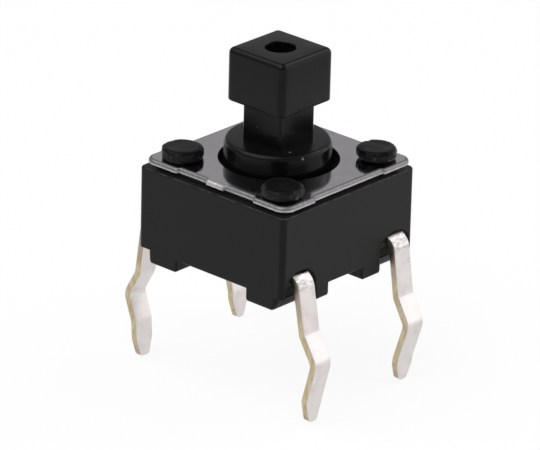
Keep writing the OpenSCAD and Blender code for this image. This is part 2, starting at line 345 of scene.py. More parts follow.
def lit_and_torn_stud_sides(tree, tone):
    """Painted light on the sides of the staked heads: paler than the tops, with pale flecks that
    are partly stress-whitened tears and partly painted highlights.
    """
    pattern = noise_at(tree, size=0.2 * MM, detail=2.0, stretch=(1, 1, 0.7))
    torn_glint_flecks = ramp(tree, pattern, (0.6, 0.7), (0.0, 1.0))
    side = at_height(tree, STUD_SIDES_LIT_AND_TORN, soft=0.05 * MM)
    paled = blend(tree, side, tone, STUD_SIDE_LIGHT_GREY)
    return blend(tree, maths(tree, "MULTIPLY", torn_glint_flecks, side), paled, TORN_GLINT_GREY)


def moulded_black(name, level, rough, gloss, haze, grain, extra=None):
    """Black moulded plastic: fine eroded grain, faint flow clouds and a few specks of dust.

    level is how light the black is, gloss how much it mirrors, haze the soft light that its grain
    scatters at a slant, and grain the grain's depth in metres.
    extra, if given, adds to the colour: painted highlights on the rims, painted reflected light in
    the pockets, or painted light on the studs' sides.
    """
    material, tree, shader = new_material(name)
    clouds = noise_at(tree, size=1.1 * MM, detail=4.0)
    tone = ramp(tree, clouds, (0.3, 0.7), ((0.8 * level, 0.8 * level, 0.85 * level),
                                           (1.2 * level, 1.2 * level, 1.25 * level)))
    if extra:
        tone = extra(tree, tone)
    dust = specks_at(tree, spacing=1.3 * MM, share=0.045)
    fine = noise_at(tree, size=0.035 * MM, detail=2.0)
    fill(tree, shader, Base_Color=blend(tree, dust, tone, DUST_GREY),
         Roughness=ramp(tree, clouds, (0.25, 0.75), (rough - 0.05, rough + 0.07)),
         Specular_IOR_Level=gloss, Sheen_Weight=haze, Sheen_Roughness=0.4,
         Normal=bump(tree, fine, grain))
    return material


def stainless(name):
    """Polished stainless sheet, faintly rolled along X and clouded."""
    material, tree, shader = new_material(name)
    clouds = noise_at(tree, size=0.9 * MM, detail=4.0)
    rolled = noise_at(tree, size=0.03 * MM, detail=2.0, stretch=(20, 1, 1))
    fill(tree, shader, Metallic=1.0, Base_Color=ramp(tree, clouds, (0.3, 0.7), STAINLESS),
         Roughness=ramp(tree, clouds, (0.3, 0.75), (0.06, 0.13)),
         Normal=bump(tree, rolled, 0.0002 * MM))
    return material


def rolled_edge(name, tones):
    """Dull metal of the plate's edge, where the sheet rolls over, and of its punched holes, in
    tones darker than the plate's own steel: painted shade.
    """
    material, tree, shader = new_material(name)
    marks = noise_at(tree, size=0.05 * MM, detail=3.0, stretch=(1, 1, 4))
    fill(tree, shader, Metallic=1.0, Base_Color=ramp(tree, marks, (0.3, 0.7), tones),
         Roughness=ramp(tree, marks, (0.3, 0.7), (0.52, 0.42)),
         Normal=bump(tree, marks, 0.001 * MM))
    return material


def sheared_edge(name):
    """The bright sheared lip along the bottom of the plate's edge, broken by tearing."""
    material, tree, shader = new_material(name)
    tears = noise_at(tree, size=0.22 * MM, detail=4.0)
    fill(tree, shader, Metallic=1.0, Base_Color=ramp(tree, tears, (0.3, 0.6), SHEARED_STEEL),
         Roughness=ramp(tree, tears, (0.3, 0.7), (0.55, 0.45)),
         Normal=bump(tree, tears, 0.006 * MM))
    return material


def tin(name):
    """Tin plating on a strip's flat faces: soft sheen, drawn lines, stains, scuffed shoulders."""
    material, tree, shader = new_material(name)
    lines = noise_at(tree, size=0.025 * MM, detail=2.0, stretch=(1, 1, 14))
    stains = noise_at(tree, size=0.45 * MM, detail=4.0)
    tone = ramp(tree, stains, (0.25, 0.5, 0.8), TIN)
    scratches = noise_at(tree, size=0.06 * MM, detail=3.0, stretch=(1, 4, 1))
    scuffed = maths(tree, "MULTIPLY", at_height(tree, SHOULDERS_SCUFFED, soft=0.15 * MM),
                    ramp(tree, scratches, (0.4, 0.58), (0.0, 1.0)))
    fill(tree, shader, Metallic=1.0, Base_Color=blend(tree, scuffed, tone, SCUFFED_TIN),
         Roughness=ramp(tree, stains, (0.3, 0.7), (0.26, 0.4)),
         Normal=bump(tree, lines, 0.0015 * MM))
    return material


def sheared_brass(name):
    """A strip's sheared edge: brass through a smear of tin, shaded above and torn at the tips."""
    material, tree, shader = new_material(name)
    smear = noise_at(tree, size=0.14 * MM, detail=4.0, stretch=(1, 1, 3))
    tone = ramp(tree, smear, (0.3, 0.5, 0.75), BRASS)
    shaded = blend(tree, at_height(tree, LEGS_SHADED, soft=0.4 * MM), tone, SHADED_BRASS)
    patches = noise_at(tree, size=0.12 * MM, detail=3.0)
    punched = maths(tree, "MULTIPLY", at_height(tree, TIPS_PUNCHED, soft=0.2 * MM),
                    ramp(tree, patches, (0.4, 0.55), (0.0, 1.0)))
    fill(tree, shader, Metallic=1.0, Base_Color=blend(tree, punched, shaded, PUNCHED_BRASS),
         Roughness=ramp(tree, smear, (0.3, 0.7), (0.5, 0.38)),
         Normal=bump(tree, smear, 0.006 * MM))
    return material


def cut_brass(name):
    """The bare cut end of a leg."""
    material, tree, shader = new_material(name)
    grain = noise_at(tree, size=0.05 * MM, detail=3.0)
    fill(tree, shader, Metallic=1.0, Base_Color=ramp(tree, grain, (0.3, 0.7), CUT_BRASS),
         Roughness=ramp(tree, grain, (0.3, 0.7), (0.6, 0.45)),
         Normal=bump(tree, grain, 0.008 * MM))
    return material


def dome_spring(name):
    """Spring steel of the snap dome, clouded, with a fine grain."""
    material, tree, shader = new_material(name)
    clouds = noise_at(tree, size=0.6 * MM, detail=3.0)
    grain = noise_at(tree, size=0.04 * MM, detail=2.0)
    fill(tree, shader, Metallic=1.0, Base_Color=ramp(tree, clouds, (0.3, 0.7), SPRING_STEEL),
         Roughness=ramp(tree, clouds, (0.3, 0.7), (0.22, 0.34)),
         Normal=bump(tree, grain, 0.0006 * MM))
    return material


# ---------------------------------------------------------------- mesh helpers

SIDE_STEPS = 20
CORNER_STEPS = 8


def arc(start, end, steps):
    """Angles in radians from start to end in degrees."""
    return [math.radians(start + (end - start) * i / steps) for i in range(steps + 1)]


def arc_points(x, y, radius, start, end, steps=6):
    """Points on an arc about (x, y), from start to end in degrees."""
    return [(x + radius * math.cos(a), y + radius * math.sin(a)) for a in arc(start, end, steps)]


def rounding(edge, steps=6):
    """Steps round an edge of that radius: how deep under one flat, and how deep under the other."""
    return [(edge * (1 - math.cos(a)), edge * (1 - math.sin(a))) for a in arc(0, 90, steps)]


def rectangle(x0, x1, y0, y1):
    """Outline of a rectangle."""
    return [(x0, y0), (x1, y0), (x1, y1), (x0, y1)]


def square_ring(half, radius, z):
    """Outline of a rounded square."""
    flat = half - radius
    points = []
    for quarter in range(4):
        turn = Matrix.Rotation(math.radians(90 * quarter), 2)
        side = [Vector((half, -flat + 2 * flat * i / SIDE_STEPS)) for i in range(SIDE_STEPS)]
        side += [Vector(p) for p in arc_points(flat, flat, radius, 0, 90, CORNER_STEPS)[:-1]]
        points += [(*(turn @ p), z) for p in side]
    return points


def round_ring(radius, z):
    """Outline of a circle, with its points in the same directions as those of the head."""
    directions = [Vector(p[:2]).normalized() for p in square_ring(HEAD_HALF, HEAD_CORNER, 0)]
    return [(radius * p.x, radius * p.y, z) for p in directions]


def disc_outline(radius):
    """Outline of a circle in plan."""
    return [p[:2] for p in round_ring(radius, 0)]


def bar_outline(radius, half_width):
    """Outline of a bar across the middle, along X, with ends on a circle of that radius."""
    end = math.degrees(math.asin(half_width / radius))
    half_bar = arc_points(0, 0, radius, -end, end)
    return half_bar + [(-x, -y) for x, y in half_bar]


def edge_rings(ring, half, radius, edge, z, up=True, steps=5):
    """Rings over an edge rounded by edge, between the side and the flat at z."""
    rings = []
    for inset, drop in rounding(edge, steps):
        size = (half - inset, radius - inset) if radius else (half - inset,)
        rings.append(ring(*size, z - drop if up else z + drop))
    return rings if up else rings[::-1]


def loft(rings, paint=0, cap_paint=0):
    """A new mesh: closed skin through rings of equal length, with a cap at each end.

    paint is the side's material index, or a function that gives it for a (level, segment).
    """
    bm = bmesh.new()
    loops = [[bm.verts.new(p) for p in ring] for ring in rings]
    count = len(rings[0])
    for level, (low, high) in enumerate(zip(loops, loops[1:])):
        for i in range(count):
            j = (i + 1) % count
            face = bm.faces.new((low[i], low[j], high[j], high[i]))
            face.material_index = paint(level, i) if callable(paint) else paint
    for loop in (loops[0][::-1], loops[-1]):
        bm.faces.new(loop).material_index = cap_paint
    return bm


def prism(outline, low, high):
    """A new mesh: the outline, in X and Y, between two heights."""
    return loft([[(x, y, z) for x, y in outline] for z in (low, high)])


def move(bm, offset):
    """Moves a whole mesh."""
    bmesh.ops.translate(bm, verts=bm.verts, vec=offset)


def make_mesh(name, bm, materials):
    """Mesh data with its faces turned outward, from a mesh that is used up."""
    bmesh.ops.recalc_face_normals(bm, faces=bm.faces)
    mesh = bpy.data.meshes.new(name)
    bm.to_mesh(mesh)
    bm.free()
    for material in materials:
        mesh.materials.append(material)
    return mesh


def combine(target, cutter, operation, materials=()):
    """Exact boolean of two meshes, which are used up. Both get the materials, so indices hold."""
    objects = []
    for name, bm in (("target", target), ("cutter", cutter)):
        obj = bpy.data.objects.new(name, make_mesh(name, bm, materials))
        bpy.context.scene.collection.objects.link(obj)
        objects.append(obj)
    modifier = objects[0].modifiers.new("boolean", "BOOLEAN")
    modifier.operation = operation
    modifier.solver = "EXACT"
    modifier.object = objects[1]
    evaluated = objects[0].evaluated_get(bpy.context.evaluated_depsgraph_get())
    result = bmesh.new()
    result.from_mesh(evaluated.to_mesh())
    for obj in objects:
        mesh = obj.data
        bpy.data.objects.remove(obj)
        bpy.data.meshes.remove(mesh)
    return result


def flatten(bm):
    """Merges slivers and joins faces that lie in one plane, so that flat sides are shaded flat."""
    bmesh.ops.remove_doubles(bm, verts=bm.verts, dist=SLIVER)
    bmesh.ops.dissolve_limit(
        bm, angle_limit=math.radians(0.2), use_dissolve_boundaries=False,
        verts=bm.verts, edges=bm.edges, delimit={"MATERIAL"},
    )


def make_piece(name, bm, body, materials, node, sharp=35.0):
    """A smooth-shaded object in place of a CAD node, which rides on that node's body."""
    mesh = make_mesh(name, bm, materials)
    mesh.shade_smooth()
    mesh.set_sharp_from_angle(angle=math.radians(sharp))
    obj = bpy.data.objects.new(name, mesh)
    bpy.context.scene.collection.objects.link(obj)
    weighted = obj.modifiers.new("weighted", "WEIGHTED_NORMAL")
    weighted.keep_sharp = True
    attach(obj, body)
    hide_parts(node)
    return obj


def corners():
    """Signs of X and Y at the four corners."""
    return [(sx, sy) for sx in (-1, 1) for sy in (-1, 1)]


# ---------------------------------------------------------------- housing

# Material indices; 0 is the moulding's own
STAKED_PAINT, POCKET_PAINT = 1, 2

STUD_POINTS = 96

# Sizes of the unevenness on a stud's melted head
STUD_DENTS = 0.55 * MM
STUD_CREASES = 0.11 * MM

# Half-section of a stud's head: where it leaves the plate, as distances out from its waist and up,
# then out to its largest radius, as shares of the way out and of its height, then over its top, as
# shares of that radius and height
STUD_LIFT = ((-0.03 * MM, 0.004 * MM), (0.0, 0.03 * MM))
STUD_SIDE = ((0.4, 0.16), (0.7, 0.28), (0.88, 0.37), (0.92, 0.42), (0.91, 0.46), (0.97, 0.53),
             (1.0, 0.61))
STUD_CROWN = ((0.99, 0.72), (0.97, 0.81), (0.93, 0.89), (0.875, 0.94), (0.8, 0.965), (0.7, 0.965),
              (0.5, 0.945), (0.25, 0.94), (0.08, 0.94))

# Staked heads, each melted a little differently
STUDS = (
    dict(corner=(-1, -1), seed=3.1, waist=0.65 * MM, girth=0.68 * MM, h=0.405 * MM,
         tear=0.05 * MM, foot=(0.072 * MM, 0.064 * MM), top=(0.072 * MM, 0.064 * MM)),
    dict(corner=(1, -1), seed=7.4, waist=0.62 * MM, girth=0.68 * MM, h=0.375 * MM,
         tear=0.08 * MM, foot=(0.0, 0.0), top=(0.0, 0.0)),
    dict(corner=(1, 1), seed=11.8, waist=0.56 * MM, girth=0.66 * MM, h=0.42 * MM,
         tear=0.075 * MM, foot=(0.046 * MM, 0.042 * MM), top=(0.03 * MM, 0.028 * MM)),
    dict(corner=(-1, 1), seed=15.2, waist=0.62 * MM, girth=0.67 * MM, h=0.42 * MM,
         tear=0.05 * MM, foot=(0.0, 0.0), top=(0.02 * MM, -0.03 * MM)),
)


def flare(low, high, edge):
    """Stations (place, growth) of a cutter that rounds the rim it leaves where it passes high."""
    return [(low, 0.0)] + [(high - drop, inset) for inset, drop in rounding(edge)] + [(FAR, edge)]


def through(edge):
    """Stations of a cutter that passes right through the body, with both of its rims rounded."""
    ahead = flare(0.0, BODY_HALF + BURR, edge)[1:]
    return [(-place, growth) for place, growth in reversed(ahead)] + ahead


def channel_section(low, high, growth):
    """Section of a channel, open downward: rounded rims below and filleted corners above."""
    low, high = low - growth, high + growth
    top = FOOT_H + growth
    left = arc_points(low - NOTCH_EDGE, NOTCH_EDGE - BURR, NOTCH_EDGE, -90, 0)
    left += arc_points(low + MOULD_FILLET, top - MOULD_FILLET, MOULD_FILLET, 180, 90, 3)
    right = [(low + high - x, z) for x, z in reversed(left)]
    return [(low - NOTCH_EDGE, -FAR)] + left + right + [(high + NOTCH_EDGE, -FAR)]


def channel_cutters():
    """The two channels that part the feet, one along Y and one along X."""
    along_y = [[(x, y, z) for x, z in channel_section(*CHANNEL_ALONG_Y, growth)]
               for y, growth in through(FOOT_EDGE)]
    along_x = [[(x, y, z) for y, z in channel_section(*CHANNEL_ALONG_X, growth)]
               for x, growth in through(FOOT_EDGE)]
    cutters = [loft(along_y), loft(along_x)]
    for cutter in cutters:
        move(cutter, (0, 0, SOLE_Z))
    return cutters


def pocket_section(growth):
    """Arch of a leg's pocket, about the leg's middle."""
    half, top, radius = POCKET_HALF + growth, POCKET_TOP + growth, POCKET_R + growth
    right = [(half, LEDGE_H)] + arc_points(half - radius, top - radius, radius, 0, 90, 12)
    return right + [(-y, z) for y, z in reversed(right)]


def pocket_cutter(sx, sy):
    """The room round a leg's shoulder, from its back wall out through the body's side."""
    stations = [(POCKET_X, -MOULD_FILLET)]
    stations += flare(POCKET_X + MOULD_FILLET, BODY_HALF + BURR, POCKET_EDGE)
    rings = [[(sx * x, sy * LEG_Y + y, z) for y, z in pocket_section(growth)]
             for x, growth in stations]
    return loft(rings, paint=POCKET_PAINT, cap_paint=POCKET_PAINT)


def foot_cutter(sx, sy):
    """The room outside a foot, under a leg. It widens downward, round the foot's bottom edge."""
    levels = [(-FAR, NOTCH_EDGE)]
    levels += [(SOLE_Z + inset - BURR, drop) for inset, drop in rounding(NOTCH_EDGE)]
    levels += [(LEDGE_H, 0.0), (FOOT_H, 0.0)]
    outer = BODY_HALF + BURR - NOTCH_EDGE
    rings = []
    for z, growth in levels:
        x = FOOT_X[sx] + FOOT_LEAN[sx] * min(max(z, 0) / LEDGE_H, 1) - growth
        y = FOOT_Y[sy] - growth
        plan = [(FAR, y - NOTCH_EDGE)]
        plan += arc_points(outer, y - NOTCH_EDGE, NOTCH_EDGE, 0, 90) + [(x, y)]
        plan += arc_points(x - NOTCH_EDGE, outer, NOTCH_EDGE, 0, 90)
        plan += [(x - NOTCH_EDGE, FAR), (FAR, FAR)]
        rings.append([(sx * px, sy * py, z) for px, py in plan])
    return loft(rings)


def well_cutters():
    """The round well for the dome and the plunger, and the slot for the plunger's ears."""
    wide = WELL_R + MOULD_FILLET
    steps = [(DOME_WELL_R, FLOOR_Z), (DOME_WELL_R, WELL_Z), (WELL_R, WELL_Z),
             (WELL_R, PAD_Z - MOULD_FILLET), (wide, PAD_Z + BURR), (wide, FAR)]
    round_well = loft([round_ring(r, z) for r, z in steps])
    ear_slot = prism(bar_outline(EAR_SLOT_R, EAR_SLOT_HALF), WELL_Z + BURR, FAR)
    return [round_well, ear_slot]


def strip_seats():
    """Cutters as large as the strips where they lie in the floor."""
    seats = [rectangle(-BODY_HALF, BODY_HALF, y - LEG_HALF, y + LEG_HALF)
             for y in (-LEG_Y, LEG_Y)]
    seats += [rectangle(-TONGUE_HALF, TONGUE_HALF, -LEG_Y, 0), disc_outline(CONTACT_DISC_R)]
    seats += [rectangle(x - ARM_HALF, x + ARM_HALF, ARM_END, LEG_Y) for x in (-ARM_X, ARM_X)]
    cutters = [prism(outline, FLOOR_Z - STRIP_T, FLOOR_Z) for outline in seats]
    for x in (-ARM_X, ARM_X):
        ends = rectangle(x - ARM_HALF, x + ARM_HALF, -OUTER_CONTACT_HALF, OUTER_CONTACT_HALF)
        cutters.append(prism(ends, FLOOR_Z - STRIP_T / 2, FLOOR_Z + CONTACT_H))
    return cutters


def stud_profile(waist, girth, h):
    """Half-section of a stud, as (radius, height above the plate), from shank to top."""
    shank = [(STUD_R, RIM_Z - PLATE_TOP), (STUD_R, 0.0)]
    lift = [(waist + out, up) for out, up in STUD_LIFT]
    side = [(waist + (girth - waist) * s, h * t) for s, t in STUD_SIDE]
    return shank + lift + side + [(girth * s, h * t) for s, t in STUD_CROWN]


def stud(corner, seed, waist, girth, h, tear, foot, top):
    """A staked stud: straight shank, and a melted head with a creased, torn side and uneven top.

    waist is the head's radius where it meets the plate, girth its largest radius, h its height
    and tear the size of its unevenness. foot and top are how far the head lies off the shank, low
    and high on it.
    """
    x, y = (sign * STUD_AT for sign in corner)
    shift = Vector((seed, 2.7 * seed, 5.3 * seed))
    rings = []
    for radius, z in stud_profile(waist, girth, h):
        share = min(max(3 * z / h, 0.0), 1.0)
        off = Vector(foot).lerp(Vector(top), min(max(2 * z / h, 0.0), 1.0))
        if z <= 0:
            off = Vector((0, 0))
        ring = []
        for i in range(STUD_POINTS):
            a = 2 * math.pi * i / STUD_POINTS
            around = Vector((math.cos(a), math.sin(a), 0))
            here = around * radius + Vector((0, 0, z))
            dents = noise.noise(here / STUD_DENTS + shift)
            creases = noise.noise(here / STUD_CREASES + shift) * radius / girth
            out = radius + tear * share * (0.5 * dents + 0.45 * creases)
            up = z + tear * share * (0.3 * dents + 0.05 * creases)
            ring.append((x + off.x + out * around.x, y + off.y + out * around.y,
                         PLATE_TOP + min(up, STUD_HEAD_H)))
        rings.append(ring)
    return loft(rings, paint=STAKED_PAINT, cap_paint=STAKED_PAINT)


def housing(materials):
    """The body with its wells, channels, pockets, feet and seats, and the four studs."""
    rings = [square_ring(BODY_HALF - drop, BODY_CORNER - drop, SOLE_Z + inset)
             for inset, drop in rounding(FOOT_EDGE)]
    rings += edge_rings(square_ring, BODY_HALF, BODY_CORNER, RIM_EDGE, RIM_Z)
    rings += [square_ring(PAD_HALF, PLATE_CORNER, RIM_Z)]
    rings += edge_rings(square_ring, PAD_HALF, PLATE_CORNER, MOULD_FILLET, PAD_Z, steps=3)
    body = loft(rings)
    cutters = well_cutters() + channel_cutters()
    cutters += [pocket_cutter(*corner) for corner in corners()]
    cutters += [foot_cutter(*corner) for corner in corners()]
    cutters += strip_seats()
    for cutter in cutters:
        body = combine(body, cutter, "DIFFERENCE", materials)
    for shape in STUDS:
        body = combine(body, stud(**shape), "UNION", materials)
    flatten(body)
    make_piece("housing_moulding", body, "switch_body", materials, "housing",
               sharp=40.0)


# ---------------------------------------------------------------- cover plate

# Material indices; 0 is the plate's flat faces
PLATE_ROLL_PAINT, PLATE_SHEAR_PAINT, PLATE_HOLE_PAINT = 1, 2, 3

PLATE_STEP = 0.05 * MM
ROLL_SPREAD = 1.1
LIP_BELOW_ROLL = 0.01 * MM
TAB_PAINT_HALF = 0.405 * MM

# Unevenness of the plate's edge and of its sheared tab: how deep, and how long
EDGE_WAVE = (0.006 * MM, 0.35 * MM)
TAB_TEAR = (0.02 * MM, 0.12 * MM)
TAB_OUT = 0.1 * MM
RELIEF_STEP = 0.08 * MM
TAB_STEP = 0.05 * MM

# Each side of the plate, by its quarter turn from the +X side: where its relief starts and ends,
# the relief's depth, and the ends of its sheared tab if it has one
PLATE_SIDES = (
    (-1.62 * MM, 1.65 * MM, 0.09 * MM, None),
    (-1.62 * MM, 1.62 * MM, 0.12 * MM, None),
    (-1.62 * MM, 1.62 * MM, 0.12 * MM, None),
    (-1.62 * MM, 1.66 * MM, 0.12 * MM, (-0.38 * MM, 0.4 * MM)),
)


def smooth_step(t):
    """0 below 0 and 1 above 1, with a smooth rise between."""
    t = min(max(t, 0.0), 1.0)
    return t * t * (3 - 2 * t)


def between(value, low, high, soft):
    """1 where value lies between low and high, fading smoothly to 0 over soft."""
    return smooth_step((value - low) / soft + 0.5) * smooth_step((high - value) / soft + 0.5)


def plate_reach(side, along):
    """How far out the plate's edge lies on that side, at a place along it."""
    low, high, depth, tab = PLATE_SIDES[side]
    wave = EDGE_WAVE[0] * noise.noise(Vector((along / EDGE_WAVE[1], 5.0 * side, 0)))
    reach = PLATE_HALF + wave - EDGE_WAVE[0]
    reach -= depth * between(along, low, high, RELIEF_STEP)
    if tab:
        torn = TAB_TEAR[0] * noise.noise(Vector((along / TAB_TEAR[1], 3.0 * side, 4)))
        reach += (TAB_OUT + torn) * between(along, *tab, TAB_STEP)
    return min(reach, PLATE_HALF)


def plate_ring(inset, z):
    """Outline of the plate, moved in by inset on all sides."""
    flat = PLATE_HALF - PLATE_CORNER
    steps = round(2 * flat / PLATE_STEP)
    points = []
    for side in range(4):
        turn = Matrix.Rotation(math.radians(90 * side), 2)
        line = []
        for i in range(steps):
            along = -flat + 2 * flat * i / steps
            line.append(Vector((plate_reach(side, along) - inset, along)))
        line += [Vector(p) for p in arc_points(flat, flat, PLATE_CORNER - inset, 0, 90, 12)[:-1]]
        points += [(*(turn @ p), z) for p in line]
    return points


def hole_cutter(x, y, radius):
    """Cutter of a punched hole, a little wider at the plate's top."""
    outline = arc_points(x, y, radius, 0, 360, 96)[:-1]
    grown = 1 + SHEET_EDGE / radius
    wide = [(x + (px - x) * grown, y + (py - y) * grown) for px, py in outline]
    levels = [(outline, PAD_Z - FAR), (outline, PLATE_TOP - SHEET_EDGE),
              (wide, PLATE_TOP + BURR), (wide, PLATE_TOP + FAR)]
    rings = [[(px, py, z) for px, py in ring] for ring, z in levels]
    return loft(rings, paint=PLATE_HOLE_PAINT)


def cover_plate(materials):
    """Stamped sheet whose edge rolls over on top and ends in a bright sheared lip below."""
    lip = PLATE_TOP - PLATE_ROLL - LIP_BELOW_ROLL
    rings = [plate_ring(SHEAR_EDGE, PAD_Z), plate_ring(0.0, PAD_Z + SHEAR_EDGE),
             plate_ring(0.0, lip)]
    lip_level = len(rings)
    rings += [plate_ring(ROLL_SPREAD * inset, PLATE_TOP - drop)
              for inset, drop in rounding(PLATE_ROLL, steps=8)]

    def edge_paint(level, segment):
        """Sheared metal on the lip and on the tab, which is on the -Y side, rolled elsewhere."""
        x, y, z = rings[level + 1][segment]
        on_tab = abs(x) < TAB_PAINT_HALF and y < 0
        return PLATE_SHEAR_PAINT if level < lip_level or on_tab else PLATE_ROLL_PAINT

    sheet = loft(rings, paint=edge_paint)
    holes = [(0, 0, HOLE_R)]
    holes += [(sx * STUD_AT, sy * STUD_AT, STUD_HOLE_R) for sx, sy in corners()]
    for hole in holes:
        sheet = combine(sheet, hole_cutter(*hole), "DIFFERENCE", materials)
    move(sheet, (*PLATE_PLAY, 0))
    make_piece("cover_sheet", sheet, "switch_body", materials, "cover_plate")


# ---------------------------------------------------------------- plunger


def plunger(material):
    """One moulding, turned from the head's core hole over the head and down to the nub."""
    rings = [round_ring(CORE_R, CORE_Z), round_ring(CORE_R, TOTAL_H - CORE_CHAMFER),
             round_ring(CORE_R + CORE_CHAMFER, TOTAL_H)]
    rings += edge_rings(square_ring, HEAD_HALF, HEAD_CORNER, HEAD_TOP_EDGE, TOTAL_H,
                        steps=8)[::-1]
    rings += edge_rings(square_ring, HEAD_HALF, HEAD_CORNER, HEAD_LOWER_EDGE, HEAD_Z,
                        up=False, steps=4)[::-1]
    rings += [square_ring(NECK_HALF, NECK_CORNER, z) for z in (HEAD_Z, COLLAR_TOP)]
    rings += edge_rings(round_ring, COLLAR_R, 0, COLLAR_EDGE, COLLAR_TOP, steps=8)[::-1]
    rings += [round_ring(r, z) for r, z in (
        (COLLAR_R, MOAT_Z), (MOAT_R, MOAT_Z), (MOAT_R, FLANGE_TOP), (FLANGE_R, FLANGE_TOP),
        (FLANGE_R, FLANGE_Z), (BOSS_R, FLANGE_Z), (NUB_R, FLANGE_Z - BOSS_H), (NUB_R, NUB_Z),
    )]
    ears = prism(bar_outline(EAR_R, EAR_HALF), FLANGE_Z + BURR, MOAT_Z - BURR)
    body = combine(loft(rings), ears, "UNION")
    make_piece("plunger_moulding", body, "button", [material], "plunger")


# ---------------------------------------------------------------- snap dome

DOME_STEPS = 24


def snap_dome(material):
    """Domed disc, two shallow caps joined by their edge."""
    sphere = (DOME_R ** 2 + DOME_RISE ** 2) / (2 * DOME_RISE)

    def cap(radius, r):
        """Height of a cap of that radius, at r from the middle."""
        return DOME_Z + DOME_RISE - sphere + math.sqrt(radius ** 2 - r ** 2)

    width = DOME_R - DOME_MIDDLE_R
    radii = [DOME_MIDDLE_R + width * i / DOME_STEPS for i in range(DOME_STEPS + 1)]
    under = [round_ring(r, max(cap(sphere, r), DOME_Z)) for r in radii]
    over = [round_ring(r, cap(sphere + DOME_T, r)) for r in reversed(radii)]
    disc = make_piece("dome_disc", loft(under + over), "switch_body", [material],
                      "snap_dome")
    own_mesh(disc)


# ---------------------------------------------------------------- contact strips and legs

# Material indices
TIN_PAINT, BRASS_PAINT, CUT_PAINT = 0, 1, 2

# Longest step along a straight, in metres, and round a bend, in degrees
STRAIGHT_STEP = 0.12 * MM
BEND_STEP = 5.0
EDGE_STEPS = 3


def leg_shape(angles, **millimetre):
    """Sizes of a leg by name: angles stay in degrees, and the lengths turn to metres."""
    return dict(angles, **{name: length * MM for name, length in millimetre.items()})


# Each leg as it is bent, from the top: x is where its shoulder bend starts and shoulder the bend's
# radius; splay is its lean above the kink, and start how far under Z = 0 the kink starts; out and
# inward are the leans of the kink's two sides, and run and back their lengths; outer_r is the
# radius of the bend into the kink, and inner_r that of the two after it; tip_lean is the lean of
# the last straight, end the height of the tip, tip half its width and taper how far up it narrows
LEG_FRONT = leg_shape(
    dict(splay=10.2, out=31.5, inward=14.6, tip_lean=3.4),
    x=2.84, shoulder=0.45, start=0.77, run=0.755, back=1.15, outer_r=0.39, inner_r=0.45,
    end=-3.8, tip=0.17, taper=0.68,
)
LEG_RIGHT = leg_shape(
    dict(splay=8.3, out=29.3, inward=17.6, tip_lean=6.5),
    x=2.917, shoulder=0.422, start=0.835, run=0.74, back=1.124, outer_r=0.41, inner_r=0.37,
    end=-3.82, tip=0.165, taper=0.55,
)
LEG_LEFT = leg_shape(
    dict(splay=7.4, out=29.0, inward=19.5, tip_lean=4.0),
    x=2.96, shoulder=0.47, start=0.814, run=0.69, back=0.72, outer_r=0.4, inner_r=0.445,
    end=-3.88, tip=0.19, taper=0.6,
)
LEG_BACK = leg_shape(
    dict(splay=8.8, out=29.5, inward=15.2, tip_lean=1.8),
    x=2.873, shoulder=0.424, start=0.723, run=0.68, back=1.148, outer_r=0.39, inner_r=0.5,
    end=-3.9, tip=0.14, taper=0.65,
)


def leg_line(leg):
    """Middle line of a leg on the +X side, as (x, z, heading in radians), from shoulder to tip."""
    splay, lean = leg["splay"], leg["tip_lean"]
    drop = leg["shoulder"] * (1 - math.sin(math.radians(splay)))
    upper = (STRIP_MID - drop + leg["start"]) / math.cos(math.radians(splay))
    steps = [
        (leg["shoulder"], splay - 90), (upper, None),
        (leg["outer_r"], leg["out"] - splay), (leg["run"], None),
        (leg["inner_r"], -leg["out"] - leg["inward"]), (leg["back"], None),
        (leg["inner_r"], leg["inward"] - lean), (FAR, None),
    ]
    place, heading = Vector((leg["x"], STRIP_MID)), 0.0
    line = [(place.x, place.y, heading)]
    for size, turn in steps:
        begin, begin_heading = place.copy(), heading
        if turn is None:
            ahead = Vector((math.cos(heading), math.sin(heading)))
            count = round(size / STRAIGHT_STEP)
            for i in range(1, count + 1):
                place = begin + ahead * size * i / count
                line.append((place.x, place.y, heading))
        else:
            radius = math.copysign(size, turn)
            centre = begin + radius * Vector((-math.sin(heading), math.cos(heading)))
            count = math.ceil(abs(turn) / BEND_STEP)
            for i in range(1, count + 1):
                heading = begin_heading + math.radians(turn) * i / count
                place = centre + radius * Vector((math.sin(heading), -math.cos(heading)))
                line.append((place.x, place.y, heading))
    return cut_line(line, leg["end"] + STRIP_T / 2 * math.sin(math.radians(lean)))


def cut_line(line, end):
    """The line down to height end, with extra stations over the tip's corners."""
    kept = [station for station in line if station[1] > end + 2 * TIP_CORNER]
    x, z, heading = kept[-1]
    slope = math.cos(heading) / math.sin(heading)
    levels = [end + drop for inset, drop in rounding(TIP_CORNER)]
    return kept + [(x + (level - z) * slope, level, heading) for level in levels]


def leg_half_width(leg, z):
    """Half the leg's width at a height, through its taper to its rounded end."""
    above = z - leg["end"]
    share = min(above / leg["taper"], 1.0)
    half = leg["tip"] + (LEG_HALF - leg["tip"]) * max(share, 0.0)
    if above < TIP_CORNER:
        below = TIP_CORNER - max(above, 0)
        half -= TIP_CORNER - math.sqrt(max(TIP_CORNER ** 2 - below ** 2, 0))
    return half


def strip_ring(x, z, heading, half, y, side):
    """Section of a strip: a rectangle with rounded corners, across the line at (x, z)."""
    wide, thick = half - STRIP_EDGE, STRIP_T / 2 - STRIP_EDGE
    section = []
    for sa, sn, start in ((1, 1, 0), (-1, 1, 90), (-1, -1, 180), (1, -1, 270)):
        section += arc_points(sa * wide, sn * thick, STRIP_EDGE, start, start + 90, EDGE_STEPS)
    up = (-math.sin(heading), math.cos(heading))
    return [(side * (x + n * up[0]), y + a, z + n * up[1]) for a, n in section]


